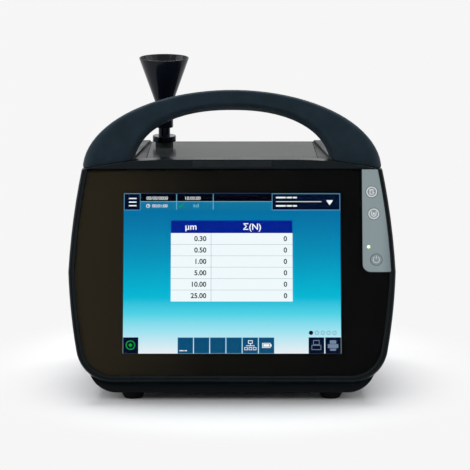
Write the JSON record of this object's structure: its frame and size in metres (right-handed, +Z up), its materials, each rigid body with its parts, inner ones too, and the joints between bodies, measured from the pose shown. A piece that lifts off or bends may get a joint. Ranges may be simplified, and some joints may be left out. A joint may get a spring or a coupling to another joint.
{
  "type": "portable airborne particle counter",
  "caption": "Portable airborne particle counter: tilted colour touch screen in a black moulded case with an arched carrying handle and a flared isokinetic sampling probe on top.",
  "frame": {"origin": "on the table, under the centre of the overall bounding box", "axes": "+X to the right of someone facing the screen, +Y towards the rear, +Z up"},
  "size_m": [0.3186, 0.2344, 0.3092],
  "materials": {
    "bezel_plastic": "smooth black moulding, semi-gloss",
    "cover_glass": "polished touch glass",
    "mask_black": "black screen print behind the glass",
    "display_metal": "plain pressed frame",
    "display_screen": "lit colour display, blue to pale",
    "keypad_film": "satin overlay film, pale grey",
    "led_lens": "clear lens, lit pale green",
    "board_green": "solder-masked circuit board",
    "handle_plastic": "fine satin moulding, dark grey",
    "case_plastic": "fine satin moulding, black",
    "top_plastic": "satin grey inlay",
    "rubber": "plain black rubber",
    "screw_steel": "bright zinc-plated steel",
    "fitting_steel": "turned stainless steel",
    "probe_steel": "polished dark stainless steel",
    "panel_paint": "dark grey powder coat",
    "fan_plastic": "black moulding",
    "socket_shell": "plated shell",
    "battery_wrap": "dark shrink wrap",
    "sheet_aluminium": "plain sheet and milled block",
    "brass": "turned brass",
    "black_anodised": "black anodised",
    "white_plastic": "plain white moulding",
    "blue_hose": "smooth flexible hose"
  },
  "bodies": {
    "counter": {"front_bezel": "bezel_plastic", "cover_glass": "cover_glass", "glass_mask": "mask_black", "display_frame": "display_metal", "display_panel": "display_screen", "keypad_panel": "keypad_film", "status_led": "led_lens", "keypad_board": "board_green", "handle": "handle_plastic", "handle_screws": "screw_steel", "rear_housing": "case_plastic", "bezel_screws": "screw_steel", "top_panel": "top_plastic", "foot_front_left": "rubber", "foot_front_right": "rubber", "foot_rear_left": "rubber", "foot_rear_right": "rubber", "foot_screws": "screw_steel", "inlet_fitting": "fitting_steel", "inlet_nut": "fitting_steel", "inlet_tube": "fitting_steel", "isokinetic_probe": "probe_steel", "probe_o_ring": "rubber", "rear_panel": "panel_paint", "panel_screws": "screw_steel", "fan_frame": "fan_plastic", "fan_guard": "screw_steel", "fan_screws": "screw_steel", "exhaust_fitting": "fitting_steel", "dc_inlet": "fan_plastic", "ethernet_socket": "socket_shell", "usb_socket": "socket_shell", "door_hinge": "panel_paint", "hinge_pin": "screw_steel", "battery_pack": "battery_wrap", "battery_bay": "sheet_aluminium", "chassis_plate": "sheet_aluminium", "chassis_screws": "screw_steel", "main_board": "board_green", "standoffs": "brass", "power_board": "board_green", "sensor_block": "sheet_aluminium", "sensor_posts": "brass", "laser_module": "black_anodised", "beam_dump": "black_anodised", "detector_board": "board_green", "mirror_housing": "sheet_aluminium", "blower_housing": "fan_plastic", "blower_motor": "black_anodised", "hepa_filter": "white_plastic", "sample_tube": "blue_hose", "outlet_tube": "blue_hose", "exhaust_tube": "blue_hose"},
    "start_key": {"start_key": "keypad_film"},
    "menu_key": {"menu_key": "keypad_film"},
    "power_key": {"power_key": "keypad_film"},
    "fan": {"fan_rotor": "fan_plastic"},
    "blower_wheel": {"impeller": "white_plastic"},
    "battery_door": {"battery_door": "case_plastic"}
  },
  "joints": [
    {"name": "start_key_press", "type": "slide", "parent": "counter", "child": "start_key", "axis": [0, 0.9205, -0.3907], "range_m": [0, 0.0005], "stiffness_N_per_m": 2000},
    {"name": "menu_key_press", "type": "slide", "parent": "counter", "child": "menu_key", "axis": [0, 0.9205, -0.3907], "range_m": [0, 0.0005], "stiffness_N_per_m": 2000},
    {"name": "power_key_press", "type": "slide", "parent": "counter", "child": "power_key", "axis": [0, 0.9205, -0.3907], "range_m": [0, 0.0005], "stiffness_N_per_m": 2000},
    {"name": "fan_spin", "type": "hinge", "parent": "counter", "child": "fan", "pos_m": [0.052, 0.088, 0.14], "axis": [0, 1, 0], "continuous": true},
    {"name": "blower_spin", "type": "hinge", "parent": "counter", "child": "blower_wheel", "pos_m": [0.056, 0.00675, 0.035], "axis": [0, 0, 1], "continuous": true},
    {"name": "battery_door_swing", "type": "hinge", "parent": "counter", "child": "battery_door", "pos_m": [-0.0906, 0.10215, 0.074], "axis": [0, 0, 1], "range_deg": [0, 110]}
  ]
}
